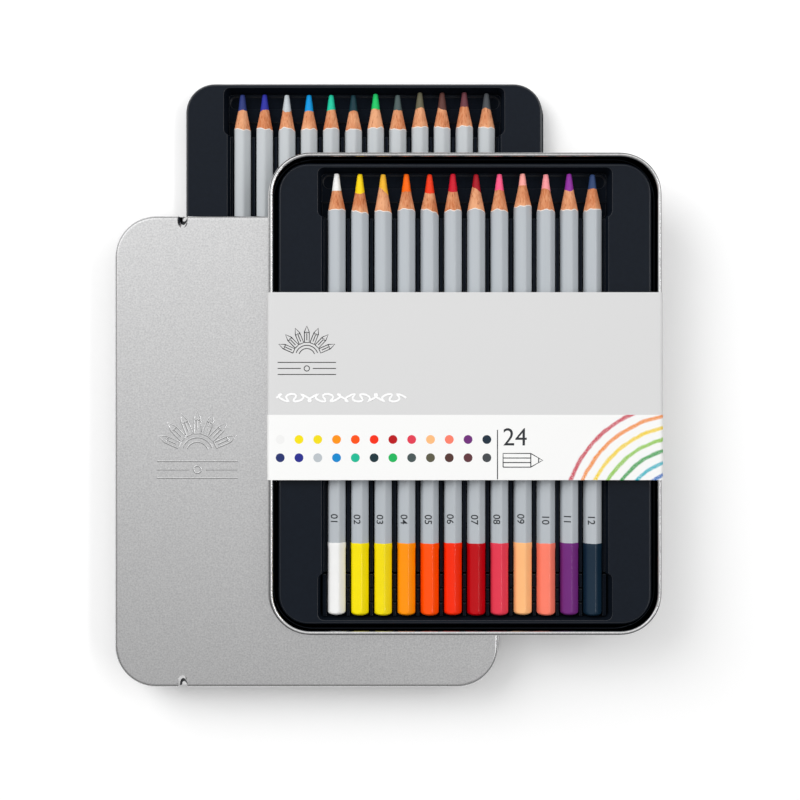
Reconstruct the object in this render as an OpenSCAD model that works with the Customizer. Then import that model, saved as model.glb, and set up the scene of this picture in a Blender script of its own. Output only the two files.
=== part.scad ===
// Colored pencil tin, opened and stacked: second tray, lid, then the tin with its front tray.
// X runs along the short side, Y towards the pencil points, Z up. The origin is at the bottom
// centre of the whole stack. The pencils set the size of the trays, the trays that of the tin,
// and the tin that of the lid and the card band.

/* [Pencils] */
// Length of a pencil
pencil_l = 176.3; // [150:0.1:190]
// Width of the barrel across its flats
flats = 6.9; // [6.6:0.1:7.1]
// Width of the barrel across its rounded corners
corners = 7.5; // [7.2:0.1:7.8]
// Diameter of the thick colored core
core_d = 3.8; // [3:0.1:4.4]
// Diameter of the blunt point
point_d = 1.9; // [1:0.1:2.5]
// Length of bare core at the point
bare_core_l = 7; // [5:0.1:8]
// Length of bare wood behind it, measured to the flats
bare_wood_l = 7.3; // [6:0.1:9]
// Length of the dipped end
dip_l = 29; // [20:0.5:40]
// Thickness of the dip over the lacquer
dip_t = 0.12; // [0.08:0.01:0.2]
// Radius that rounds the dipped end
tail_r = 2; // [1:0.1:2.4]

/* [Trays] */
// Gap between a barrel and its groove
groove_gap = 0.35; // [0.3:0.05:0.6]
// Flat top of the ridge between two grooves
ridge_w = 1.1; // [1.05:0.05:2]
// Flat ledge between the outer grooves and the channel walls, at the deck
ledge_w = 1.65; // [1.4:0.05:4]
// Free length of a pencil in the recess, at the deck
end_play = 3.4; // [3:0.1:6]
// Thickness of the vacuum-formed sheet
sheet_t = 0.5; // [0.4:0.05:0.5]
// How far the grooves stay above the foot
groove_lift = 0.6; // [0.3:0.1:1.5]
// How far the deck stands above the barrels
deck_above = 0.35; // [0.1:0.05:1]
// Width of the deck beside the head and tail zones
deck_side = 15.6; // [10:0.1:20]
// Length of the deck beyond the recess, at each end
deck_end = 1.5; // [1.3:0.1:5]
// Radius of the deck corners
deck_corner = 11.8; // [8:0.1:14]
// Radius that rounds the edge of the deck
deck_edge_r = 1.2; // [0.8:0.1:2]
// How far each wall flares out between deck and foot
wall_flare = 1.7; // [1:0.1:2.5]
// Draft of the recess walls, over their height
recess_draft = 1.1; // [0.5:0.1:1.2]
// How far the head and tail zones reach past the channel, at each side
zone_step = 1.5; // [1:0.1:3]
// Radius of the zone corners at the deck
zone_corner = 2.5; // [2.2:0.1:4]
// Length of the head zone, under the points
head_l = 19.7; // [18:0.1:25]
// Length of the tail zone, under the dipped ends
tail_l = 18.7; // [17:0.1:25]
// Length of the bar across the head zone
bar_l = 5.6; // [4:0.1:6]
// Height of that bar above the pockets beside it
bar_rise = 0.8; // [0.4:0.1:1]
// Length of the pocket under the points
pocket_l = 5.2; // [4:0.1:5.4]
// Width of the slots across the ridges of the tail zone
slot_w = 0.9; // [0.6:0.1:1.4]
// Depth of those slots
slot_depth = 1.2; // [0.8:0.1:1.5]

/* [Tin] */
// Gap between the foot of the tray and the curled rim, at each side
tray_gap_side = 0.2; // [0.15:0.05:1]
// Gap between the foot of the tray and the curled rim, at each end
tray_gap_end = 0.6; // [0.15:0.05:1.5]
// Radius of the outer corners
tin_corner = 17.3; // [15:0.1:22]
// Thickness of the tinplate, with its coating
plate_t = 0.35; // [0.25:0.05:0.5]
// How far the curled rim stands above the deck of the tray
rim_above = 2.63; // [2:0.01:5]
// Height of the wide lower body, up to the shoulder that the lid stops on
shoulder_h = 8.4; // [6:0.1:9]
// Rounding of the shoulder
shoulder_r = 0.7; // [0.5:0.1:1]
// Rounding of the bottom edge
heel_r = 1.6; // [1:0.1:3]
// Diameter of the curled rim
rim_d = 1.5; // [1.2:0.1:2]
// How far the curled rim stands in from the body
rim_in = 1; // [0.8:0.1:1.6]

/* [Lid] */
// Room above the two stacked trays when the lid is on
lid_room = 0.7; // [0.3:0.1:3]
// Diameter of the bead that is rolled outwards at the mouth of the lid
bead_d = 1.5; // [1.2:0.1:1.7]
// Gap between the curled rim of the tin and the inside of the lid
lid_gap = 0.22; // [0.15:0.01:0.4]
// Radius that rounds the edge of the panel
panel_r = 1.5; // [0.8:0.1:2.5]
// Half width of a hinge dent in the panel edge
dent_r = 2.1; // [1:0.1:3]
// Distance of the hinge dents from the left side of the lid
dent_from_left = 29; // [25:0.5:60]

/* [Band] */
// Length of the card band along the tin
band_l = 74; // [50:1:100]
// Thickness of the card
card_t = 0.35; // [0.25:0.05:0.5]
// How far the band sits towards the points
band_shift = 3; // [0:0.5:20]

/* [Stack] */
// Tin centre to lid centre, across
lid_dx = -63.7; // [-80:0.1:-40]
// Tin centre to lid centre, along
lid_dy = -23.4; // [-60:0.1:-5]
// Tin centre to second tray centre, across
second_dx = -40.7; // [-60:0.1:-20]
// Tin centre to second tray centre, along
second_dy = 37.6; // [20:0.1:60]

/* [Hidden] */
per_tray = 12;
// Gap left where a loose piece lies on another
rest_gap = 0.02;

// Tray, sized by its pencils
groove_r = corners / 2 + groove_gap;
pitch = 2 * groove_r + ridge_w;
axis_h = groove_r + sheet_t + groove_lift;
floor_h = groove_lift + sheet_t;
tray_h = axis_h + corners / 2 + deck_above;
channel_w = (per_tray - 1) * pitch + 2 * (groove_r + ledge_w);
recess_l = pencil_l + end_play;
zone_w = channel_w + 2 * zone_step;
deck_w = zone_w + 2 * deck_side;
deck_l = recess_l + 2 * deck_end;
foot_w = deck_w + 2 * wall_flare;
foot_l = deck_l + 2 * wall_flare;
bed_l = recess_l - head_l - tail_l;
bed_y = (tail_l - head_l) / 2;
head_y = recess_l / 2 - head_l / 2;
tail_y = -recess_l / 2 + tail_l / 2;

// Tin, sized by its tray
tin_w = foot_w + 2 * (tray_gap_side + rim_d + rim_in);
tin_l = foot_l + 2 * (tray_gap_end + rim_d + rim_in);
tin_h = plate_t + rest_gap + tray_h + rim_above;
neck_in = rim_in + rim_d / 4;

// Lid, which slips over the curled rim, closes over both trays and stops on the shoulder
lid_h = 2 * (plate_t + tray_h) + lid_room - shoulder_h;
skirt_in = bead_d - plate_t / 2;
skirt_w = tin_w + 2 * (plate_t + lid_gap - rim_in);
skirt_l = tin_l + 2 * (plate_t + lid_gap - rim_in);
lid_w = skirt_w + 2 * skirt_in;
lid_l = skirt_l + 2 * skirt_in;
lid_corner = tin_corner + (lid_w - tin_w) / 2;

// Extents of the stack, measured from the tin centre, which put the origin at its bottom centre
stack_right = tin_w / 2 + rest_gap + card_t;
stack_left = lid_dx - lid_w / 2;
stack_front = lid_dy - lid_l / 2;
stack_back = second_dy + foot_l / 2;
tin_x = -(stack_left + stack_right) / 2;
tin_y = -(stack_front + stack_back) / 2;

// Levels, from the floor up
lid_z = tray_h + rest_gap;
band_z = lid_z + lid_h + rest_gap;
tin_z = band_z + card_t + rest_gap;

tin_place = [tin_x, tin_y, tin_z];
lid_place = [tin_x + lid_dx, tin_y + lid_dy, lid_z];
front_place = [tin_x, tin_y, tin_z + plate_t + rest_gap];
second_place = [tin_x + second_dx, tin_y + second_dy, 0];

// Free length behind each pencil in its groove, pencil by pencil from the left
front_tail_gaps = [0.6, 0.4, 0.3, 0.4, 0.3, 0.5, 0.3, 0.4, 0.6, 0.3, 0.5, 0.2];
second_tail_gaps = [0.4, 0.5, 0.3, 0.3, 0.3, 0.2, 0.8, 0.3, 1.4, 1.3, 1.5, 1.0];
tail_gaps = concat(front_tail_gaps, second_tail_gaps);
// How far each pencil is rolled from lying with one corner straight up
front_rolls = [14, 10, 6, 11, 17, 7, 13, 5, 9, 19, 8, 12];
second_rolls = [12, 6, 15, 9, 4, 13, 8, 17, 10, 5, 14, 7];
rolls = concat(front_rolls, second_rolls);

silver = "#c9cacc";
tray_black = "#22262b";
lacquer = "#bfc3c8";
card_grey = "#dbdbdb";
// Colors of the cores, pencil by pencil
core_colors = [
    "#f4f4f2", "#f5e000", "#f5b82e", "#ff6a00", "#f23a12", "#d0142c",
    "#a81020", "#ff5c8a", "#ffa8a0", "#fa8f8a", "#9030a0", "#2f4570",
    "#2a3878", "#2a2fa0", "#c5ccd0", "#0098e0", "#1cc8a0", "#10353f",
    "#1cc868", "#4e5e5e", "#66634e", "#5e3a34", "#6b3a42", "#4a4e52"
];

$fn = 48;

// Flat plate with rounded corners, centred, standing on z = 0
module rounded_plate(w, l, r, h) {
    translate([-w / 2 + r, -l / 2, 0]) cube([w - 2 * r, l, h]);
    translate([-w / 2, -l / 2 + r, 0]) cube([w, l - 2 * r, h]);
    for (sx = [-1, 1], sy = [-1, 1])
        translate([sx * (w / 2 - r), sy * (l / 2 - r), 0]) cylinder(h = h, r = r);
}

// The same plate with walls that widen by spread over the height; w, l and r are its foot
module spread_plate(w, l, r, h, spread) {
    translate([0, l / 2 - r, 0]) rotate([90, 0, 0]) linear_extrude(l - 2 * r)
        polygon([[-w / 2, 0], [w / 2, 0], [w / 2 + spread, h], [-w / 2 - spread, h]]);
    translate([-w / 2 + r, 0, 0]) rotate([90, 0, 90]) linear_extrude(w - 2 * r)
        polygon([[-l / 2, 0], [l / 2, 0], [l / 2 + spread, h], [-l / 2 - spread, h]]);
    for (sx = [-1, 1], sy = [-1, 1])
        translate([sx * (w / 2 - r), sy * (l / 2 - r), 0])
            cylinder(h = h, r1 = r, r2 = r + spread);
}

// Carries a wall section round a rounded rectangle. The section's x counts outwards from the
// centre of the corners, so x = r is the outline itself.
module round_the_tin(w, l, r) {
    for (a = [0, 180]) rotate([0, 0, a]) {
        translate([w / 2 - r, l / 2 - r, 0]) rotate([90, 0, 0])
            linear_extrude(l - 2 * r) children();
        rotate([0, 0, 90]) translate([l / 2 - r, w / 2 - r, 0]) rotate([90, 0, 0])
            linear_extrude(w - 2 * r) children();
        translate([w / 2 - r, l / 2 - r, 0]) rotate_extrude(angle = 90) children();
        translate([-w / 2 + r, l / 2 - r, 0]) rotate([0, 0, 90])
            rotate_extrude(angle = 90) children();
    }
}

// Section of the tin body, filled; t moves its outline inwards
module body_fill(t) {
    r = tin_corner;
    translate([0, heel_r]) square([r - t, shoulder_h - shoulder_r - heel_r]);
    translate([0, heel_r]) square([r - shoulder_r, shoulder_h - t - heel_r]);
    translate([0, t]) square([r - heel_r, shoulder_h - 2 * t]);
    translate([r - heel_r, heel_r]) circle(r = heel_r - t);
    translate([r - shoulder_r, shoulder_h - shoulder_r]) circle(r = shoulder_r - t);
}

module tin_section() {
    r = tin_corner;
    neck_x = r - neck_in;
    difference() {
        body_fill(0);
        body_fill(plate_t);
        translate([0, plate_t]) square([neck_x - plate_t, shoulder_h]);
    }
    translate([neck_x - plate_t, shoulder_h - plate_t])
        square([plate_t, tin_h - rim_d / 2 - shoulder_h + plate_t]);
    translate([r - rim_in - rim_d / 2, tin_h - rim_d / 2]) circle(d = rim_d);
}

module tin_base() {
    color(silver) translate(tin_place) {
        round_the_tin(tin_w, tin_l, tin_corner) tin_section();
        rounded_plate(tin_w - tin_corner, tin_l - tin_corner, tin_corner / 2, plate_t);
    }
}

// Section of the lid, filled from the height z up; t moves its outline inwards
module lid_fill(t, z) {
    skirt_x = lid_corner - skirt_in;
    translate([0, z]) square([skirt_x - t, lid_h - panel_r - z]);
    translate([0, z]) square([skirt_x - panel_r, lid_h - t - z]);
    translate([skirt_x - panel_r, lid_h - panel_r]) circle(r = panel_r - t);
}

module lid_section() {
    difference() {
        lid_fill(0, bead_d / 2);
        lid_fill(plate_t, 0);
    }
    translate([lid_corner - bead_d / 2, bead_d / 2]) circle(d = bead_d);
}

// Troughs pressed across the edge of the panel at both short sides
module hinge_dents(r) {
    dent_x = -lid_w / 2 + dent_from_left;
    half_reach = dent_r / 2;
    for (s = [-1, 1])
        translate([dent_x, s * (skirt_l / 2 - half_reach), lid_h - half_reach])
            rotate([s * -135, 0, 0]) cylinder(h = 5 * dent_r, r = r, center = true);
}

// Solid edge of the lid where the dents are, which trims the skin of the dents
module dent_blocks() {
    block_w = 4 * dent_r;
    for (a = [0, 180]) rotate([0, 0, a]) {
        dent_x = (a == 0 ? -1 : 1) * (lid_w / 2 - dent_from_left);
        translate([dent_x - block_w / 2, skirt_l / 2, 0]) rotate([90, 0, 90])
            linear_extrude(block_w) {
                translate([-4 * dent_r, 0]) square([4 * dent_r, lid_h - panel_r]);
                translate([-4 * dent_r, 0]) square([4 * dent_r - panel_r, lid_h]);
                translate([-panel_r, lid_h - panel_r]) circle(r = panel_r);
            }
    }
}

module lid() {
    color(silver) translate(lid_place) {
        difference() {
            union() {
                round_the_tin(lid_w, lid_l, lid_corner) lid_section();
                translate([0, 0, lid_h - plate_t])
                    rounded_plate(skirt_w - lid_corner, skirt_l - lid_corner,
                        lid_corner / 2 - skirt_in, plate_t);
            }
            hinge_dents(dent_r);
        }
        intersection() {
            difference() {
                hinge_dents(dent_r + plate_t);
                hinge_dents(dent_r);
            }
            dent_blocks();
        }
    }
}

// Recess as a block from height z up through the deck; grow widens it all round
module recess_block(grow, z) {
    top = tray_h + sheet_t;
    slope = recess_draft / (tray_h - floor_h);
    inset = slope * (tray_h - z) - grow;
    spread = slope * (top - z);
    half = channel_w / 2 - inset;
    translate([0, 0, z]) {
        translate([0, bed_y + bed_l / 2 + head_l / 2, 0]) rotate([90, 0, 0])
            linear_extrude(bed_l + head_l / 2 + tail_l / 2)
                polygon([[-half, 0], [half, 0], [half + spread, top - z],
                    [-half - spread, top - z]]);
        translate([0, head_y, 0]) spread_plate(zone_w - 2 * inset, head_l - 2 * inset,
            zone_corner - inset, top - z, spread);
        translate([0, tail_y, 0]) spread_plate(zone_w - 2 * inset, tail_l - 2 * inset,
            zone_corner - inset, top - z, spread);
    }
}

function groove_x(i) = (i - (per_tray - 1) / 2) * pitch;

// Cylinders along all grooves
module groove_rods(l, r) {
    for (i = [0 : per_tray - 1])
        translate([groove_x(i), l / 2, axis_h]) rotate([90, 0, 0]) cylinder(h = l, r = r);
}

// Length of grooved sheet: half pipes joined along their tops, a web at each end, and slots
// across the ridges at the places given
module groove_bed(l, slots) {
    bed_w = channel_w - recess_draft + sheet_t / 2;
    web_w = 2 * (groove_x(per_tray - 1) + groove_r + sheet_t / 2);
    strip_w = ridge_w * 0.6;
    difference() {
        union() {
            groove_rods(l, groove_r + sheet_t);
            for (s = [-1, 1])
                translate([-web_w / 2, s * (l / 2 - sheet_t / 2) - sheet_t / 2, floor_h - sheet_t / 4])
                    cube([web_w, sheet_t, axis_h - floor_h + sheet_t / 2]);
            for (i = [0 : per_tray - 2]) {
                ridge_x = groove_x(i) + pitch / 2;
                translate([ridge_x - strip_w / 2, -l / 2, axis_h - sheet_t])
                    cube([strip_w, l, sheet_t]);
                for (y = slots)
                    translate([ridge_x - ridge_w / 2, y - slot_w / 2 - sheet_t,
                        axis_h - slot_depth - sheet_t])
                        cube([ridge_w, slot_w + 2 * sheet_t, slot_depth + sheet_t]);
            }
            for (s = [-1, 1])
                translate([s * (bed_w / 2 + groove_x(per_tray - 1) + groove_r) / 2,
                    0, axis_h - sheet_t / 2])
                    cube([bed_w / 2 - groove_x(per_tray - 1) - groove_r + sheet_t, l, sheet_t],
                        center = true);
        }
        groove_rods(l + 2 * sheet_t, groove_r);
        translate([-bed_w / 2 - sheet_t, -l / 2 - sheet_t, axis_h])
            cube([bed_w + 2 * sheet_t, l + 2 * sheet_t, groove_r + 2 * sheet_t]);
        for (y = slots)
            translate([-groove_x(per_tray - 1), y - slot_w / 2, axis_h - slot_depth])
                cube([2 * groove_x(per_tray - 1), slot_w, slot_depth + sheet_t]);
    }
}

// Bottom of the head zone: low under the barrels, then a bar, then a pocket with rounded ends
module head_floor() {
    floor_w = zone_w - 2 * recess_draft;
    floor_l = head_l - 2 * recess_draft;
    difference() {
        intersection() {
            translate([0, 0, floor_h - sheet_t / 2])
                rounded_plate(floor_w, floor_l, zone_corner - recess_draft,
                    bar_rise + sheet_t / 2);
            translate([-floor_w / 2, -bar_l / 2, 0]) cube([floor_w, floor_l, tray_h]);
        }
        translate([0, (bar_l + pocket_l) / 2, floor_h])
            rounded_plate(floor_w - 2 * sheet_t, pocket_l, (pocket_l - sheet_t / 2) / 2,
                bar_rise + sheet_t);
    }
}

// Points round the deck edge, from the leaning wall up to the flat deck, or back down
function edge_points(r, lean, x, y, back) = let (steps = 6)
    [for (i = [0 : steps])
        let (part = back == 1 ? steps - i : i, a = lean + (90 - lean) * part / steps)
        [x + r * cos(a), y + r * sin(a)]];

module tray() {
    foot_corner = deck_corner + wall_flare;
    lean = atan(wall_flare / tray_h);
    edge_x = deck_corner - deck_edge_r * tan(45 - lean / 2);
    edge_y = tray_h - deck_edge_r;
    edge_in = foot_corner - edge_x;
    difference() {
        union() {
            round_the_tin(foot_w, foot_l, foot_corner)
                polygon(concat([[foot_corner, 0]],
                    edge_points(deck_edge_r, lean, edge_x, edge_y, 0),
                    edge_points(deck_edge_r - sheet_t, lean, edge_x, edge_y, 1),
                    [[foot_corner - sheet_t / cos(lean), 0]]));
            translate([0, 0, tray_h - sheet_t])
                rounded_plate(foot_w - 2 * edge_in, foot_l - 2 * edge_in, edge_x, sheet_t);
            intersection() {
                recess_block(sheet_t, groove_lift);
                translate([-foot_w / 2, -foot_l / 2, 0]) cube([foot_w, foot_l, tray_h]);
            }
        }
        recess_block(0, floor_h);
        translate([-channel_w / 2 + recess_draft, bed_y - bed_l / 2 + sheet_t, -sheet_t])
            cube([channel_w - 2 * recess_draft, bed_l - 2 * sheet_t, tray_h]);
    }
    translate([0, bed_y, 0]) groove_bed(bed_l, []);
    translate([0, head_y, 0]) head_floor();
    tail_bed_l = tail_l - 2 * recess_draft + sheet_t / 2;
    translate([0, tail_y, 0]) groove_bed(tail_bed_l, [-tail_bed_l / 6, tail_bed_l / 6]);
}

module front_tray() {
    color(tray_black) translate(front_place) tray();
}

module second_tray() {
    color(tray_black) translate(second_place) tray();
}

// Outline of the card loop across the tin: over the body, then in to the curled rim
module band_section(grow) {
    side = tin_w / 2 + grow;
    top = tin_h + grow;
    rim_side = tin_w / 2 - rim_in + grow;
    polygon([[-side, -grow], [side, -grow], [side, shoulder_h + grow], [rim_side, top],
        [-rim_side, top], [-side, shoulder_h + grow]]);
}

module card_band() {
    color(card_grey) translate(tin_place)
        translate([0, band_shift + band_l / 2, 0]) rotate([90, 0, 0]) linear_extrude(band_l)
            difference() {
                band_section(rest_gap + card_t);
                band_section(rest_gap);
            }
}

// Solid of revolution that limits the barrel: rounded tail, corners, sharpened cone.
// The pencil stands on its tail; grow thickens it for the dip.
module barrel_envelope(grow) {
    cone_start = pencil_l - bare_core_l
        - bare_wood_l * (corners - core_d) / (flats - core_d);
    tail = dip_t - grow;
    out = corners / 2 + grow;
    rotate_extrude() {
        polygon([[0, tail], [out - tail_r, tail], [out - tail_r, tail + tail_r],
            [out, tail + tail_r], [out, cone_start], [core_d / 2, pencil_l - bare_core_l],
            [0, pencil_l - bare_core_l]]);
        translate([out - tail_r, tail + tail_r]) mirror([0, 1]) intersection() {
            circle(r = tail_r);
            square(tail_r);
        }
    }
}

module barrel(grow) {
    intersection() {
        rotate([0, 0, 30]) cylinder(h = pencil_l, r = (flats / 2 + grow) / cos(30), $fn = 6);
        barrel_envelope(grow);
    }
}

// Lays a standing pencil in its groove, rolled and with its free length behind it
module in_groove(n) {
    place = n < per_tray ? front_place : second_place;
    wall_in = recess_draft * (corners / 2 + tray_h - axis_h) / (tray_h - floor_h);
    translate(place + [groove_x(n % per_tray), -recess_l / 2 + wall_in + tail_gaps[n], axis_h])
        rotate([-90, 0, 0]) rotate([0, 0, rolls[n]]) children();
}

module pencil_case(n) {
    color(lacquer) in_groove(n) difference() {
        barrel(0);
        translate([0, 0, -dip_t]) cylinder(h = pencil_l, d = core_d);
    }
}

module pencil_core(n) {
    color(core_colors[n]) in_groove(n) {
        rotate_extrude() polygon([[0, dip_t / 2], [core_d / 2, dip_t / 2],
            [core_d / 2, pencil_l - bare_core_l], [point_d / 2, pencil_l], [0, pencil_l]]);
        difference() {
            intersection() {
                barrel(dip_t);
                cylinder(h = dip_l, r = corners);
            }
            barrel(0);
        }
    }
}

// Name of a numbered node, such as core_07 for n = 6
function numbered(kind, n) = str(kind, "_", n < 9 ? "0" : "", n + 1);

tin_base();
lid();
front_tray();
second_tray();
card_band();
for (n = [0 : 2 * per_tray - 1]) {
    pencil_case(n);
    pencil_core(n);
}
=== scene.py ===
import bmesh
import bpy
import math
import random
from mathutils import Matrix, Vector, noise


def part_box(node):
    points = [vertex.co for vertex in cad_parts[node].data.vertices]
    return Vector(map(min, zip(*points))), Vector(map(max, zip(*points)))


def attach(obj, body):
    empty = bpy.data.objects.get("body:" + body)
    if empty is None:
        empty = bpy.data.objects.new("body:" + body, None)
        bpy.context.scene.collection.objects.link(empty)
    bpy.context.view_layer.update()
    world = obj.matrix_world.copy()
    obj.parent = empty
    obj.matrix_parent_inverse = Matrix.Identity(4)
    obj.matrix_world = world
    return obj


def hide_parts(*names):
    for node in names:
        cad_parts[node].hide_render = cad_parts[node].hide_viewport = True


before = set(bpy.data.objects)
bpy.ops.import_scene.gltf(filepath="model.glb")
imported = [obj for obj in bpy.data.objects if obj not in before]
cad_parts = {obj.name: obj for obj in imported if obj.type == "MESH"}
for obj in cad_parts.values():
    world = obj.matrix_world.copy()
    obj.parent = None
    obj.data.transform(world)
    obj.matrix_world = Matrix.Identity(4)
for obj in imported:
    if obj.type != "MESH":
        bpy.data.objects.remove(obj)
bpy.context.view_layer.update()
mm = 0.001
print("frame loaded")


def middleOf(node):
    low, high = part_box(node)
    return (low + high) / 2


tinLow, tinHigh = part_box("tin_base")
lidLow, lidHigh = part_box("lid")
tinMiddle = middleOf("tin_base")
lidMiddle = middleOf("lid")

# The camera looks straight down, from left of the middle of the open tin. Places are in mm.
camera = {"fromTin": (-25.8, -2.45), "height": 474.0, "lens": 50.27, "sensor": 36, "near": 10}
cameraData = bpy.data.cameras.new("camera")
cameraData.lens = camera["lens"]
cameraData.sensor_width = camera["sensor"]
cameraData.clip_start = camera["near"] * mm
cameraObject = bpy.data.objects.new("camera", cameraData)
cameraObject.location = (tinMiddle.x + camera["fromTin"][0] * mm,
                         tinMiddle.y + camera["fromTin"][1] * mm, camera["height"] * mm)
bpy.context.scene.collection.objects.link(cameraObject)
bpy.context.scene.camera = cameraObject


# sRGB hex to linear
def fromHex(code):
    parts = [int(code[i:i + 2], 16) / 255 for i in (1, 3, 5)]
    return [c / 12.92 if c <= 0.04045 else ((c + 0.055) / 1.055) ** 2.4 for c in parts] + [1.0]


# Adds a node; a socket given an output is linked, one given a value is set
def addNode(tree, kind, sockets=None, **settings):
    made = tree.nodes.new(kind)
    for key, value in settings.items():
        setattr(made, key, value)
    for key, value in (sockets or {}).items():
        if isinstance(value, bpy.types.NodeSocket):
            tree.links.new(value, made.inputs[key])
        else:
            made.inputs[key].default_value = value
    return made


# Starts a material, with the place on the object that its patterns follow
def newMaterial(name):
    made = bpy.data.materials.new(name)
    made.use_nodes = True
    made.node_tree.nodes.clear()
    spot = addNode(made.node_tree, "ShaderNodeTexCoord").outputs["Object"]
    return made, made.node_tree, spot


# Tinplate: cold-rolled steel with a matt tin coat under clear lacquer. The eye sees satin
# silver with a fine rolled grain that sparkles, drawn coarser than its real 0.05 mm. Inside,
# the tin is painted near-black as painted shade, so the gap round its tray looks deep.
# Sizes are in mm.
tinplate = {
    "color": "#e5e5e5", "dark": "#c6c6c7", "grainSize": 0.65, "cloudSize": 45,
    "lidRough": 0.28, "tinRough": 0.14, "roughSpread": 0.05, "bendShine": 0.12,
    "inside": "#1c1f24", "curl": 1.1, "innerFloor": 1.2, "inward": 4.0, "corner": 17.3,
    "crease": 1.22, "creaseWidth": 0.2,
    # painted shade round the lid's dents: its colour, size and ring
    "dentShade": "#232527", "dentHalf": 1.75, "dentReach": 4.2, "ringAt": 0.82, "ringWidth": 0.2,
    "dentFromLeft": 29, "dentFromEdge": 0.6,
}


# Where the tin gets painted shade, near-black: on walls that face inwards below the curl, on
# the floor between them, and as a painted shadow line in the fine crease where the shoulder
# meets the neck
def blackPlaces(tree, spot):
    facing = addNode(tree, "ShaderNodeNewGeometry").outputs["True Normal"]
    up = addNode(tree, "ShaderNodeSeparateXYZ", {0: facing}).outputs[2]
    height = addNode(tree, "ShaderNodeSeparateXYZ", {0: spot}).outputs[2]
    outward = addNode(tree, "ShaderNodeVectorMath", {
        0: spot, 1: (tinMiddle.x, tinMiddle.y, 0)}, operation="SUBTRACT")
    level = addNode(tree, "ShaderNodeVectorMath", {
        0: outward.outputs[0], 1: (1, 1, 0)}, operation="MULTIPLY")
    away = addNode(tree, "ShaderNodeVectorMath", {
        0: facing, 1: level.outputs[0]}, operation="DOT_PRODUCT")
    inward = addNode(tree, "ShaderNodeMath", {
        0: away.outputs["Value"], 1: -tinplate["inward"] * mm}, operation="LESS_THAN")
    low = addNode(tree, "ShaderNodeMath", {
        0: height, 1: tinLow.z + tinplate["innerFloor"] * mm}, operation="LESS_THAN")
    upward = addNode(tree, "ShaderNodeMath", {0: up, 1: 0.5}, operation="GREATER_THAN")
    onFloor = addNode(tree, "ShaderNodeMath", {
        0: low.outputs[0], 1: upward.outputs[0]}, operation="MULTIPLY")
    inner = addNode(tree, "ShaderNodeMath", {
        0: inward.outputs[0], 1: onFloor.outputs[0]}, operation="MAXIMUM")
    below = addNode(tree, "ShaderNodeMath", {
        0: height, 1: tinHigh.z - tinplate["curl"] * mm}, operation="LESS_THAN")
    inside = addNode(tree, "ShaderNodeMath", {
        0: inner.outputs[0], 1: below.outputs[0]}, operation="MULTIPLY")
    # how far out a point lies, measured from the middles of the rounded corners
    aside = addNode(tree, "ShaderNodeVectorMath", {0: outward.outputs[0]}, operation="ABSOLUTE")
    cornerAt = [side / 2 - tinplate["corner"] * mm for side in (tinHigh - tinLow).xy]
    past = addNode(tree, "ShaderNodeVectorMath", {
        0: aside.outputs[0], 1: (*cornerAt, 0)}, operation="SUBTRACT")
    rounded = addNode(tree, "ShaderNodeVectorMath", {
        0: past.outputs[0], 1: (0, 0, 0)}, operation="MAXIMUM")
    flat = addNode(tree, "ShaderNodeVectorMath", {
        0: rounded.outputs[0], 1: (1, 1, 0)}, operation="MULTIPLY")
    out = addNode(tree, "ShaderNodeVectorMath", {0: flat.outputs[0]}, operation="LENGTH")
    # painted shadow: a thin dark line along the crease where the shoulder meets the neck
    line = addNode(tree, "ShaderNodeMath", {
        0: out.outputs["Value"], 1: (tinplate["corner"] - tinplate["crease"]) * mm,
        2: tinplate["creaseWidth"] * mm}, operation="COMPARE")
    above = addNode(tree, "ShaderNodeMath", {0: up, 1: 0.2}, operation="GREATER_THAN")
    crease = addNode(tree, "ShaderNodeMath", {
        0: line.outputs[0], 1: above.outputs[0]}, operation="MULTIPLY")
    return addNode(tree, "ShaderNodeMath", {
        0: inside.outputs[0], 1: crease.outputs[0]}, operation="MAXIMUM").outputs[0]


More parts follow.
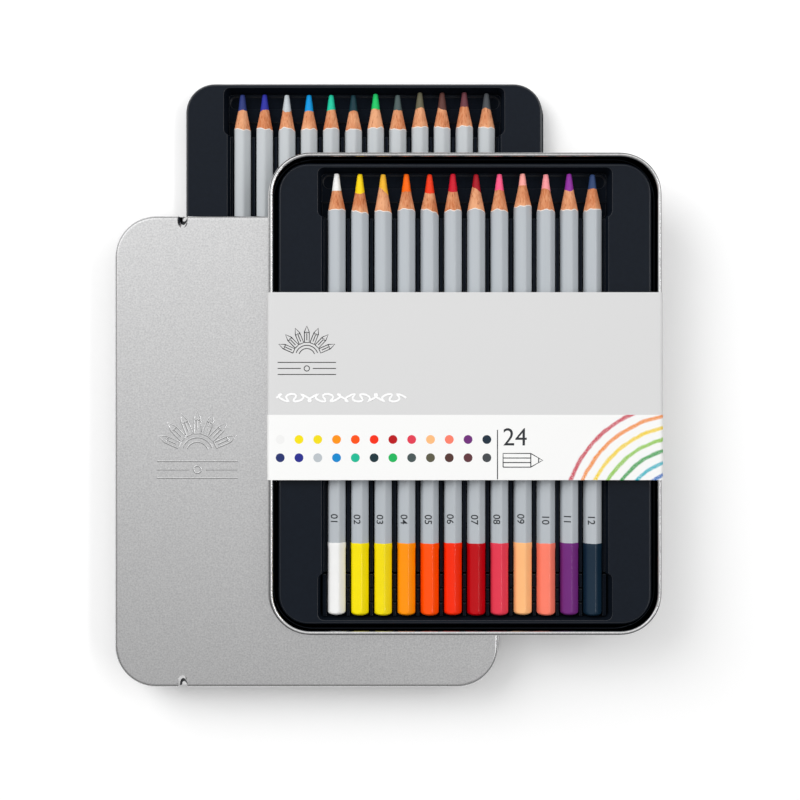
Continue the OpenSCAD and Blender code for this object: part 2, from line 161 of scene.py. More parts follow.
def tinplateMaterial(name, rough, paintedShadeInside=False, dents=()):
    mat, tree, spot = newMaterial(name)
    grain = addNode(tree, "ShaderNodeTexNoise", {
        "Vector": spot, "Scale": 1 / (tinplate["grainSize"] * mm), "Detail": 3,
        "Roughness": 0.65})
    cloud = addNode(tree, "ShaderNodeTexNoise", {
        "Vector": spot, "Scale": 1 / (tinplate["cloudSize"] * mm), "Detail": 2})
    tone = addNode(tree, "ShaderNodeMapRange", {
        "Value": grain.outputs["Fac"], "From Min": 0.3, "From Max": 0.7})
    color = addNode(tree, "ShaderNodeMix", {
        0: tone.outputs[0], 6: fromHex(tinplate["dark"]), 7: fromHex(tinplate["color"])},
        data_type="RGBA")
    # painted shade: near-black laid over the inner walls, the floor between them and the crease
    if paintedShadeInside:
        color = addNode(tree, "ShaderNodeMix", {
            0: blackPlaces(tree, spot), 6: color.outputs[2], 7: fromHex(tinplate["inside"])},
            data_type="RGBA")
    for dent in dents:  # painted shade: a dark ring round each pressed dent, standing in for the shadow in its hollow
        near = addNode(tree, "ShaderNodeVectorMath", {
            0: spot, 1: (*dent, 0)}, operation="SUBTRACT")
        shrunk = addNode(tree, "ShaderNodeVectorMath", {
            0: near.outputs[0], 1: (1 / (tinplate["dentHalf"] * mm),
                                    1 / (tinplate["dentReach"] * mm), 0)},
            operation="MULTIPLY")
        far = addNode(tree, "ShaderNodeVectorMath", {0: shrunk.outputs[0]}, operation="LENGTH")
        ring = addNode(tree, "ShaderNodeMath", {
            0: far.outputs["Value"], 1: tinplate["ringAt"], 2: tinplate["ringWidth"]},
            operation="COMPARE")
        color = addNode(tree, "ShaderNodeMix", {
            0: ring.outputs[0], 6: color.outputs[2], 7: fromHex(tinplate["dentShade"])},
            data_type="RGBA")
    satin = addNode(tree, "ShaderNodeMapRange", {
        "Value": cloud.outputs["Fac"], "From Min": 0.3, "From Max": 0.7,
        "To Min": rough, "To Max": rough + tinplate["roughSpread"]})
    turned = addNode(tree, "ShaderNodeSeparateXYZ", {
        0: addNode(tree, "ShaderNodeNewGeometry").outputs["True Normal"]})
    bends = addNode(tree, "ShaderNodeMapRange", {
        "Value": turned.outputs[2], "From Min": 0.9, "From Max": 0.99,
        "To Min": tinplate["bendShine"], "To Max": satin.outputs[0]})
    walls = addNode(tree, "ShaderNodeMapRange", {
        "Value": turned.outputs[2], "From Min": 0.1, "From Max": 0.3,
        "To Min": satin.outputs[0], "To Max": bends.outputs[0]})
    bump = addNode(tree, "ShaderNodeBump", {
        "Height": grain.outputs["Fac"], "Strength": 0.25, "Distance": 0.02 * mm})
    steel = addNode(tree, "ShaderNodeBsdfPrincipled", {
        "Base Color": color.outputs[2], "Metallic": 1.0, "Roughness": walls.outputs[0],
        "Normal": bump.outputs[0]})
    addNode(tree, "ShaderNodeOutputMaterial", {"Surface": steel.outputs[0]})
    return mat


# Black polystyrene sheet, vacuum formed: a satin blue-black skin on the flats, dull on the
# walls where the hot sheet was drawn thin, and shinier at the bends that hugged the mould.
def trayMaterial(name, top):
    sheet = {"color": "#11161e", "worn": "#161c25", "bendRadius": 0.45, "skinSize": 1.6,
             "flatShine": 0.1, "bendShine": 6.0, "deckFrom": 1.4, "deckTo": 0.5}
    mat, tree, spot = newMaterial(name)
    skin = addNode(tree, "ShaderNodeTexNoise", {
        "Vector": spot, "Scale": 1 / (sheet["skinSize"] * mm), "Detail": 4})
    color = addNode(tree, "ShaderNodeMix", {
        0: skin.outputs["Fac"], 6: fromHex(sheet["color"]), 7: fromHex(sheet["worn"])},
        data_type="RGBA")
    heights = addNode(tree, "ShaderNodeSeparateXYZ", {0: spot})
    deck = addNode(tree, "ShaderNodeMapRange", {
        "Value": heights.outputs[2], "From Min": top - sheet["deckFrom"] * mm,
        "From Max": top - sheet["deckTo"] * mm, "To Min": 0.1, "To Max": 1.0})
    normal = addNode(tree, "ShaderNodeNewGeometry").outputs["True Normal"]
    facing = addNode(tree, "ShaderNodeSeparateXYZ", {0: normal})
    flats = addNode(tree, "ShaderNodeMapRange", {
        "Value": facing.outputs[2], "From Min": 0.93, "From Max": 0.985,
        "To Min": 1.0, "To Max": sheet["flatShine"]})
    walls = addNode(tree, "ShaderNodeMapRange", {
        "Value": facing.outputs[2], "From Min": 0.15, "From Max": 0.4})
    curved = addNode(tree, "ShaderNodeMath", {
        0: flats.outputs[0], 1: walls.outputs[0]}, operation="MULTIPLY")
    onDeck = addNode(tree, "ShaderNodeMath", {
        0: curved.outputs[0], 1: deck.outputs[0]}, operation="MULTIPLY")
    bend = addNode(tree, "ShaderNodeBevel", {"Radius": sheet["bendRadius"] * mm}, samples=6)
    straight = addNode(tree, "ShaderNodeVectorMath", {
        0: bend.outputs[0], 1: normal}, operation="DOT_PRODUCT")
    bent = addNode(tree, "ShaderNodeMath", {
        0: 1.0, 1: straight.outputs["Value"]}, operation="SUBTRACT")
    shiny = addNode(tree, "ShaderNodeMath", {
        0: bent.outputs[0], 1: sheet["bendShine"], 2: onDeck.outputs[0]},
        operation="MULTIPLY_ADD", use_clamp=True)
    bump = addNode(tree, "ShaderNodeBump", {
        "Height": skin.outputs["Fac"], "Strength": 0.12, "Distance": 0.03 * mm,
        "Normal": bend.outputs[0]})
    plastic = addNode(tree, "ShaderNodeBsdfPrincipled", {
        "Base Color": color.outputs[2], "Roughness": 0.6, "Specular IOR Level": 0.0,
        "Coat Weight": shiny.outputs[0], "Coat Roughness": 0.28, "Coat IOR": 1.8,
        "Normal": bump.outputs[0], "Coat Normal": bump.outputs[0]})
    addNode(tree, "ShaderNodeOutputMaterial", {"Surface": plastic.outputs[0]})
    return mat


# Silver-grey nitro lacquer, pulled on in several coats: satin with a soft line of light along
# each rounded corner and a faint streak from the drawing. The second tray's copy is painted a
# shade paler, as painted light for the brighter light on that tray.
def lacquerMaterial(name, code, streakCode):
    lacquer = {"streakWidth": 1.1, "stretch": 50}
    mat, tree, spot = newMaterial(name)
    drawn = addNode(tree, "ShaderNodeMapping", {
        "Vector": spot, "Scale": (1, 1 / lacquer["stretch"], 1)})
    streak = addNode(tree, "ShaderNodeTexNoise", {
        "Vector": drawn.outputs[0], "Scale": 1 / (lacquer["streakWidth"] * mm), "Detail": 2})
    color = addNode(tree, "ShaderNodeMix", {
        0: streak.outputs["Fac"], 6: fromHex(code), 7: fromHex(streakCode)}, data_type="RGBA")
    rough = addNode(tree, "ShaderNodeMapRange", {
        "Value": streak.outputs["Fac"], "To Min": 0.4, "To Max": 0.5})
    coat = addNode(tree, "ShaderNodeBsdfPrincipled", {
        "Base Color": color.outputs[2], "Roughness": rough.outputs[0],
        "Specular IOR Level": 0.3, "Coat Weight": 0.4, "Coat Roughness": 0.14})
    addNode(tree, "ShaderNodeOutputMaterial", {"Surface": coat.outputs[0]})
    return mat


# Incense cedar, sharpened by a spinning knife: dry and matt, with fine lengthwise grain, darker
# pores and a tone that differs from pencil to pencil.
def cedarMaterial():
    cedar = {"light": "#e5a67c", "dark": "#c47347", "pore": "#93502f",
             "grain": 0.5, "stretch": 6.25, "tone": 11}
    mat, tree, spot = newMaterial("cedarSharpened")
    lengthwise = addNode(tree, "ShaderNodeMapping", {
        "Vector": spot, "Scale": (1, 1 / cedar["stretch"], 1)})
    grain = addNode(tree, "ShaderNodeTexNoise", {
        "Vector": lengthwise.outputs[0], "Scale": 1 / (cedar["grain"] * mm), "Detail": 3,
        "Distortion": 0.4})
    tone = addNode(tree, "ShaderNodeTexNoise", {
        "Vector": spot, "Scale": 1 / (cedar["tone"] * mm), "Detail": 1})
    both = addNode(tree, "ShaderNodeMath", {
        0: grain.outputs["Fac"], 1: tone.outputs["Fac"]}, operation="ADD")
    spread = addNode(tree, "ShaderNodeMapRange", {
        "Value": both.outputs[0], "From Min": 0.75, "From Max": 1.25})
    color = addNode(tree, "ShaderNodeMix", {
        0: spread.outputs[0], 6: fromHex(cedar["dark"]), 7: fromHex(cedar["light"])},
        data_type="RGBA")
    pores = addNode(tree, "ShaderNodeMapRange", {
        "Value": grain.outputs["Fac"], "From Min": 0.36, "From Max": 0.28})
    pored = addNode(tree, "ShaderNodeMix", {
        0: pores.outputs[0], 6: color.outputs[2], 7: fromHex(cedar["pore"])}, data_type="RGBA")
    bump = addNode(tree, "ShaderNodeBump", {
        "Height": grain.outputs["Fac"], "Strength": 0.4, "Distance": 0.05 * mm})
    wood = addNode(tree, "ShaderNodeBsdfPrincipled", {
        "Base Color": pored.outputs[2], "Roughness": 0.78, "Specular IOR Level": 0.25,
        "Normal": bump.outputs[0]})
    addNode(tree, "ShaderNodeOutputMaterial", {"Surface": wood.outputs[0]})
    return mat


# Pale filler coat under the lacquer, which shows as a thin, dry line where the knife cut
# through
def fillerMaterial(chipSize=0.6):
    mat, tree, spot = newMaterial("fillerCutEdge")
    chips = addNode(tree, "ShaderNodeTexNoise", {"Vector": spot, "Scale": 1 / (chipSize * mm)})
    color = addNode(tree, "ShaderNodeMix", {
        0: chips.outputs["Fac"], 6: fromHex("#e6d6c8"), 7: fromHex("#f4efea")}, data_type="RGBA")
    edge = addNode(tree, "ShaderNodeBsdfPrincipled", {
        "Base Color": color.outputs[2], "Roughness": 0.7})
    addNode(tree, "ShaderNodeOutputMaterial", {"Surface": edge.outputs[0]})
    return mat


# Pigment core bound with wax: dense color with a dull wax bloom and fine turning marks
def coreMaterial(name, code, bloomSize=0.8):
    mat, tree, spot = newMaterial(name)
    bloom = addNode(tree, "ShaderNodeTexNoise", {
        "Vector": spot, "Scale": 1 / (bloomSize * mm), "Detail": 4, "Roughness": 0.6})
    shade = addNode(tree, "ShaderNodeMapRange", {
        "Value": bloom.outputs["Fac"], "From Min": 0.3, "From Max": 0.7,
        "To Min": 0.9, "To Max": 1.04})
    color = addNode(tree, "ShaderNodeHueSaturation", {
        "Color": fromHex(code), "Value": shade.outputs[0]})
    rough = addNode(tree, "ShaderNodeMapRange", {
        "Value": bloom.outputs["Fac"], "To Min": 0.42, "To Max": 0.6})
    bump = addNode(tree, "ShaderNodeBump", {
        "Height": bloom.outputs["Fac"], "Strength": 0.25, "Distance": 0.04 * mm})
    wax = addNode(tree, "ShaderNodeBsdfPrincipled", {
        "Base Color": color.outputs[0], "Roughness": rough.outputs[0],
        "Specular IOR Level": 0.3, "Normal": bump.outputs[0]})
    addNode(tree, "ShaderNodeOutputMaterial", {"Surface": wax.outputs[0]})
    return mat


# Thick glossy lacquer that the end was dipped in: full color, wet-looking, very slightly wavy
def dipMaterial(name, code, waveSize=4):
    mat, tree, spot = newMaterial(name)
    wave = addNode(tree, "ShaderNodeTexNoise", {
        "Vector": spot, "Scale": 1 / (waveSize * mm), "Detail": 2})
    shade = addNode(tree, "ShaderNodeMapRange", {
        "Value": wave.outputs["Fac"], "To Min": 0.97, "To Max": 1.03})
    color = addNode(tree, "ShaderNodeHueSaturation", {
        "Color": fromHex(code), "Value": shade.outputs[0]})
    bump = addNode(tree, "ShaderNodeBump", {
        "Height": wave.outputs["Fac"], "Strength": 0.15, "Distance": 0.1 * mm})
    gloss = addNode(tree, "ShaderNodeBsdfPrincipled", {
        "Base Color": color.outputs[0], "Roughness": 0.5, "Specular IOR Level": 0.0,
        "Coat Weight": 0.55, "Coat Roughness": 0.13, "Coat Normal": bump.outputs[0]})
    addNode(tree, "ShaderNodeOutputMaterial", {"Surface": gloss.outputs[0]})
    return mat


# Printing ink, dry and dense, a little uneven where the surface took it up. Without a color
# of its own it takes the one that each swatch carries as an attribute.
def inkMaterial(name, code=None, dotSize=0.5):
    mat, tree, spot = newMaterial(name)
    base = fromHex(code) if code else addNode(
        tree, "ShaderNodeVertexColor", layer_name="ink").outputs["Color"]
    cover = addNode(tree, "ShaderNodeTexNoise", {
        "Vector": spot, "Scale": 1 / (dotSize * mm), "Detail": 2})
    shade = addNode(tree, "ShaderNodeMapRange", {
        "Value": cover.outputs["Fac"], "To Min": 0.94, "To Max": 1.05})
    color = addNode(tree, "ShaderNodeHueSaturation", {"Color": base, "Value": shade.outputs[0]})
    ink = addNode(tree, "ShaderNodeBsdfPrincipled", {
        "Base Color": color.outputs[0], "Roughness": 0.5, "Specular IOR Level": 0.3})
    addNode(tree, "ShaderNodeOutputMaterial", {"Surface": ink.outputs[0]})
    return mat


# Coated folding carton, offset printed: smooth and nearly matt, a grey panel over a white
# strip that ends in hatched arcs of crayon color. Places and sizes are in mm.
def cardMaterial():
    card = {"grey": "#d8d8d8", "white": "#f4f4f3", "strip": -13.4, "fibre": 0.35,
            "arcCentre": (117.5, -56.0), "arcFrom": 14.0, "arcTo": 50.0,
            "wobble": 1.1, "wobbleSize": 3.5, "lineFull": 0.1, "lineEnd": 0.22,
            "arcs": ["#6f3a86", "#2b6fc0", "#16b2c4", "#1f9a3c",
                     "#8cc63f", "#f4d21e", "#f08a24", "#c8324a"]}
    mat, tree, spot = newMaterial("cartonOffsetPrinted")
    parts = addNode(tree, "ShaderNodeSeparateXYZ", {0: spot})
    inStrip = addNode(tree, "ShaderNodeMath", {
        0: parts.outputs[1], 1: card["strip"] * mm}, operation="LESS_THAN")
    color = addNode(tree, "ShaderNodeMix", {
        0: inStrip.outputs[0], 6: fromHex(card["grey"]), 7: fromHex(card["white"])},
        data_type="RGBA").outputs[2]
    centre = card["arcCentre"]
    fromCentre = addNode(tree, "ShaderNodeVectorMath", {
        0: spot, 1: (centre[0] * mm, centre[1] * mm, tinHigh.z)}, operation="DISTANCE")
    wobble = addNode(tree, "ShaderNodeTexNoise", {
        "Vector": spot, "Scale": 1 / (card["wobbleSize"] * mm), "Detail": 3})
    wobbled = addNode(tree, "ShaderNodeMath", {
        0: wobble.outputs["Fac"], 1: card["wobble"] * mm, 2: fromCentre.outputs["Value"]},
        operation="MULTIPLY_ADD")
    hatch = addNode(tree, "ShaderNodeTexNoise", {
        "Vector": spot, "Scale": 1 / (card["fibre"] * mm), "Detail": 2})
    grainy = addNode(tree, "ShaderNodeMapRange", {
        "Value": hatch.outputs["Fac"], "From Min": 0.38, "From Max": 0.5,
        "To Min": 0.35, "To Max": 1.0})
    step = (card["arcTo"] - card["arcFrom"]) / len(card["arcs"])
    for i, code in enumerate(card["arcs"]):
        off = addNode(tree, "ShaderNodeMath", {
            0: wobbled.outputs[0], 1: (card["arcFrom"] + step * (i + 0.5)) * mm},
            operation="SUBTRACT")
        away = addNode(tree, "ShaderNodeMath", {0: off.outputs[0]}, operation="ABSOLUTE")
        line = addNode(tree, "ShaderNodeMapRange", {
            "Value": away.outputs[0], "From Min": step * card["lineFull"] * mm,
            "From Max": step * card["lineEnd"] * mm, "To Min": 1.0, "To Max": 0.0})
        laid = addNode(tree, "ShaderNodeMath", {
            0: line.outputs[0], 1: grainy.outputs[0]}, operation="MULTIPLY")
        kept = addNode(tree, "ShaderNodeMath", {
            0: laid.outputs[0], 1: inStrip.outputs[0]}, operation="MULTIPLY")
        color = addNode(tree, "ShaderNodeMix", {
            0: kept.outputs[0], 6: color, 7: fromHex(code)}, data_type="RGBA").outputs[2]
    fibre = addNode(tree, "ShaderNodeTexNoise", {
        "Vector": spot, "Scale": 1 / (card["fibre"] * mm), "Detail": 3})
    bump = addNode(tree, "ShaderNodeBump", {
        "Height": fibre.outputs["Fac"], "Strength": 0.1, "Distance": 0.02 * mm})
    carton = addNode(tree, "ShaderNodeBsdfPrincipled", {
        "Base Color": color, "Roughness": 0.6, "Specular IOR Level": 0.08,
        "Normal": bump.outputs[0]})
    addNode(tree, "ShaderNodeOutputMaterial", {"Surface": carton.outputs[0]})
    return mat


# Raw board of the carton, matt and fibrous, which shows at its cut edges and inside
def boardMaterial(fibreSize=0.4):
    mat, tree, spot = newMaterial("cartonCutEdge")
    fibre = addNode(tree, "ShaderNodeTexNoise", {"Vector": spot, "Scale": 1 / (fibreSize * mm)})
    color = addNode(tree, "ShaderNodeMix", {
        0: fibre.outputs["Fac"], 6: fromHex("#d9d6d0"), 7: fromHex("#efede9")}, data_type="RGBA")
    board = addNode(tree, "ShaderNodeBsdfPrincipled", {
        "Base Color": color.outputs[2], "Roughness": 0.85, "Specular IOR Level": 0.2})
    addNode(tree, "ShaderNodeOutputMaterial", {"Surface": board.outputs[0]})
    return mat


dentX = lidLow.x + tinplate["dentFromLeft"] * mm
dentIn = tinplate["dentFromEdge"] * mm
# the lid, with painted shade round its two dents
lidTinplate = tinplateMaterial("tinplateClearLacquered", tinplate["lidRough"], dents=[
    (dentX, lidLow.y + dentIn), (dentX, lidHigh.y - dentIn)])
# the base tin, with painted shade inside it and in the shoulder crease
tinTinplate = tinplateMaterial("tinplatePaintedShadeInside", tinplate["tinRough"], paintedShadeInside=True)
frontLacquer = lacquerMaterial("lacquerSilverGrey", "#aeb4b9", "#b6bbc0")
# painted light: the same lacquer a shade paler, for the brighter light on the second tray
secondLacquerPaintedLighter = lacquerMaterial("lacquerSilverGreyPaintedLighter", "#b8bdc0", "#c0c4c7")
caseWood = cedarMaterial()
cutFiller = fillerMaterial()
printedCard = cardMaterial()
rawBoard = boardMaterial()
greyInk = inkMaterial("inkDarkGrey", "#2c2f33")
blackInk = inkMaterial("inkBlack", "#1d1d1f")
whiteInk = inkMaterial("inkWhite", "#fbfbfb")
swatchInk = inkMaterial("inkSwatches", dotSize=0.4)
print("materials made")


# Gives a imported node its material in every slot
def dressNode(name, mat):
    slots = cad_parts[name].data.materials
    for i in range(len(slots)):
        slots[i] = mat


# Puts a mesh into the scene as a piece that rides on a body
def addPiece(name, mesh, mats, body):
    for mat in mats:
        mesh.materials.append(mat)
    piece = bpy.data.objects.new(name, mesh)
    bpy.context.scene.collection.objects.link(piece)
    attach(piece, body)
    return piece


# Turns a bmesh into a finished piece, smooth but for edges that bend by more degrees than bend
def finishPiece(bm, name, mats, body, bend=35):
    bmesh.ops.recalc_face_normals(bm, faces=bm.faces)
    mesh = bpy.data.meshes.new(name)
    bm.to_mesh(mesh)
    bm.free()
    mesh.polygons.foreach_set("use_smooth", [True] * len(mesh.polygons))
    mesh.set_sharp_from_angle(angle=math.radians(bend))
    return addPiece(name, mesh, mats, body)


# Text or strokes as a mesh, in millimetres
def curveMesh(data):
    holder = bpy.data.objects.new("holder", data)
    bpy.context.scene.collection.objects.link(holder)
    bpy.context.view_layer.update()
    mesh = bpy.data.meshes.new_from_object(
        holder.evaluated_get(bpy.context.evaluated_depsgraph_get()))
    bpy.data.objects.remove(holder)
    return mesh


def textMesh(name, words, height, thick, bold=0.0):
    text = bpy.data.curves.new(name, "FONT")
    text.body = words
    text.size = height * 1.35  # a numeral fills 1 / 1.35 of the size
    text.align_x = "CENTER"
    text.align_y = "CENTER"
    text.extrude = thick / 2
    text.offset = bold
    return curveMesh(text)


# Round strokes along paths, flattened to a height
def strokeMesh(name, paths, width, height):
    line = bpy.data.curves.new(name, "CURVE")
    line.dimensions = "3D"
    line.bevel_depth = width / 2
    line.bevel_resolution = 2
    line.use_fill_caps = True
    for path in paths:
        spline = line.splines.new("POLY")
        spline.points.add(len(path) - 1)
        for point, (x, y) in zip(spline.points, path):
            point.co = (x, y, 0, 1)
    mesh = curveMesh(line)
    mesh.transform(Matrix.Diagonal((1, 1, height / width * 2, 1)))
    return mesh


# Lays such a mesh in its place, in millimetres
def layMesh(mesh, name, place, mat, body):
    mesh.transform(Matrix.Scale(mm, 4) @ place)
    mesh.materials.clear()
    addPiece(name, mesh, [mat], body)


# A fan of seven pencils round two arcs, over three rules, the middle one open for a ring: a
# plain mark for lid and band, in mm. A pencil is drawn along its length and across it.
fan = {
    "pencils": 7, "turn": 22, "rules": (-3.2, -6.6, -10.0), "ruleHalf": 16.4, "ruleGap": 3.4,
    "ring": 1.5, "arcs": (4.6, 6.4), "arcTurn": 70,
    "outline": [(8, -1.35), (14, -1.35), (17.3, 0), (14, 1.35), (8, 1.35), (8, -1.35)],
    "cutEdge": [(14, -1.35), (13.4, -0.5), (14, 0), (13.4, 0.5), (14, 1.35)],
    "barrelLine": [(9.2, 0), (13.2, 0)],
}


def fanPaths(size):
    paths = []
    for i in range(fan["pencils"]):
        a = math.radians(fan["turn"] * (i - fan["pencils"] // 2))
        for path in (fan["outline"], fan["cutEdge"], fan["barrelLine"]):
            paths.append([(along * math.sin(a) + side * math.cos(a),
                           along * math.cos(a) - side * math.sin(a)) for along, side in path])
    reach = fan["arcTurn"]
    turns = [math.radians(-reach + 2 * reach * i / 20) for i in range(21)]
    for r in fan["arcs"]:
        paths.append([(r * math.sin(a), r * math.cos(a)) for a in turns])
    top, middle, bottom = fan["rules"]
    end, gap, ring = fan["ruleHalf"], fan["ruleGap"], fan["ring"]
    paths.append([(-end, top), (end, top)])
    paths += [[(s * gap, middle), (s * end, middle)] for s in (-1, 1)]
    paths.append([(ring * math.cos(math.pi * i / 8), middle + ring * math.sin(math.pi * i / 8))
                  for i in range(17)])
    paths.append([(-end, bottom), (end, bottom)])
    return [[(x * size, y * size) for x, y in path] for path in paths]


# The tin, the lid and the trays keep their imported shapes
dressNode("tin_base", tinTinplate)
dressNode("lid", lidTinplate)
for name in ("front_tray", "second_tray"):
    dressNode(name, trayMaterial(f"polystyreneVacuumFormed_{name}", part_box(name)[1].z))
print("tin, lid and trays dressed")

# Mark pressed up from inside the lid, left of its middle
lidMark = {"fromLid": (-44.3, -0.6), "size": 1.0, "stroke": 0.75, "height": 0.16}
pressed = strokeMesh("lidMark", fanPaths(lidMark["size"]), lidMark["stroke"], lidMark["height"])
pressed.polygons.foreach_set("use_smooth", [True] * len(pressed.polygons))
layMesh(pressed, "lidMark", Matrix.Translation(Vector((
    lidMiddle.x / mm + lidMark["fromLid"][0], lidMiddle.y / mm + lidMark["fromLid"][1],
    lidHigh.z / mm))), lidTinplate, "lid")
print("lid marked")

# Sizes in mm: first those of the real pencil, then how finely it is drawn and how ragged the
# edges are that the knife cut, then the number
pencil = {
    "length": 176.3, "flats": 6.9, "corners": 7.5, "core": 3.8, "point": 1.9,
    "bareCore": 7.2, "bareWood": 7.7, "dip": 29.0, "dipThickness": 0.12, "tailRound": 2.0,
    "sides": 48, "coreSides": 32, "sharpness": 26, "dipSharpness": 11,
    "rimRound": 0.25, "filler": 0.33, "fillerDrop": 0.13, "scallop": 0.3,
    "rimSpread": (-0.5, 0.5), "coreSpread": (-0.4, 0.9), "ragWaves": 2.2,
    "rimRag": 0.35, "coreRag": 0.3, "dipRag": 0.12,
    "numberHeight": 3.0, "numberAt": 38.5, "numberInk": 0.016, "numberRise": 0.004,
    "numberBold": 0.03, "perTray": 12,
}
coreStart = pencil["length"] - pencil["bareCore"]
woodSlope = (pencil["flats"] - pencil["core"]) / 2 / pencil["bareWood"]
coreSlope = (pencil["core"] - pencil["point"]) / 2 / pencil["bareCore"]

# Degrees from lying with a corner straight up, as the grooves hold them
rolls = [14, 10, 6, 11, 17, 7, 13, 5, 9, 19, 8, 12, 12, 6, 15, 9, 4, 13, 8, 17, 10, 5, 14, 7]
pointColors = [
    "#f4f4f2", "#ffd90a", "#f5b82e", "#ff6a00", "#f23a12", "#d0142c",
    "#a81020", "#ff5c8a", "#ffa8a0", "#ff9ea2", "#9030a0", "#2f4570",
    "#2a3878", "#2a2fa0", "#c5ccd0", "#0098e0", "#1cc8a0", "#10353f",
    "#1cc868", "#4e5e5e", "#66634e", "#5e3a34", "#6b3a42", "#4a4e52",
]
dipColors = [
    "#eeeeed", "#f5e000", "#f2dc0a", "#ff9200", "#ff5000", "#f52b00",
    "#b8000c", "#e23a50", "#fdbb7e", "#fa7f68", "#6e2878", "#14293a",
    "#222f6c", "#23288c", "#b9c0c5", "#0086cc", "#12b892", "#0d2d36",
    "#16b45a", "#445252", "#5a5744", "#52322d", "#5e3239", "#414549",
]
# How far the edges of core and lacquer lie towards the point, in mm: left, middle and right
edges = {
    1: ((0.2, 0.1, 0.2), (-0.1, 0.0, 0.2)), 2: ((-0.1, -1.0, -0.1), (0.1, -0.7, -1.1)),
    3: ((2.1, 0.6, -1.3), (0.1, -0.3, -0.7)), 4: ((-0.1, -0.1, 0.1), (0.2, 0.4, 0.0)),
    5: ((-0.1, -0.8, -0.3), (0.6, 0.0, -1.4)), 6: ((0.2, -0.4, 0.1), (-0.5, -0.1, 0.0)),
    7: ((2.1, 1.0, -0.2), (0.1, 0.6, -0.3)), 8: ((0.4, 0.6, 0.4), (-0.1, 0.1, -0.5)),
    9: ((2.2, 2.3, 2.3), (1.2, 1.5, 1.8)), 10: ((1.4, 1.2, 0.2), (0.3, 0.2, 0.0)),
    11: ((0.8, 0.0, 1.0), (0.1, 0.1, 0.1)), 12: ((1.2, 1.5, 1.2), (0.1, 0.6, 0.6)),
}


# An edge that is given at the left, middle and right of a pencil, at an angle round it
def acrossPencil(three, angle):
    side = math.cos(angle)
    left, centre, right = three
    return centre + side * (right - left) / 2 + side * side * ((left + right) / 2 - centre)


# A hexagon with soft corners
def barrelRadius(angle, roll, sharpness):
    turned = (angle + roll + math.pi / 6) % (math.pi / 3) - math.pi / 6
    flat = pencil["flats"] / 2 / math.cos(turned)
    corner = pencil["corners"] / 2
    return (flat ** -sharpness + corner ** -sharpness) ** (-1 / sharpness)


def coneRadius(along):
    back = coreStart - along
    return pencil["core"] / 2 + back * (woodSlope if back > 0 else coreSlope)


# Draws a circle out ring by ring along a pencil that starts at a place. Each ring is (along,
# radius, material), in mm, where along and radius are numbers or functions of the angle.
def drawOut(rings, sides, start):
    bm = bmesh.new()
    bmesh.ops.create_circle(bm, segments=sides, radius=1, cap_ends=True)
    angles = {v: math.atan2(v.co.y, v.co.x) for v in bm.verts}

    def openEdge():
        return [e for e in bm.edges if e.verts[0] in angles and e.verts[1] in angles]

    for i, (along, radius, index) in enumerate(rings):
        if i > 0:
            made = bmesh.ops.extrude_edge_only(bm, edges=openEdge())["geom"]
            for face in (g for g in made if isinstance(g, bmesh.types.BMFace)):
                face.material_index = index
            old = angles
            angles = {}
            for v in (g for g in made if isinstance(g, bmesh.types.BMVert)):
                angles[v] = old[next(
                    e.other_vert(v) for e in v.link_edges if e.other_vert(v) in old)]
        for v, a in angles.items():
            r = radius(a) if callable(radius) else radius
            y = along(a) if callable(along) else along
            v.co = (r * math.cos(a), y, r * math.sin(a))
    cap = bmesh.ops.contextual_create(bm, geom=openEdge())
    for face in cap["faces"]:
        face.material_index = rings[-1][2]
    bmesh.ops.translate(bm, verts=bm.verts, vec=start / mm)
    bmesh.ops.scale(bm, verts=bm.verts, vec=(mm, mm, mm))
    return bm


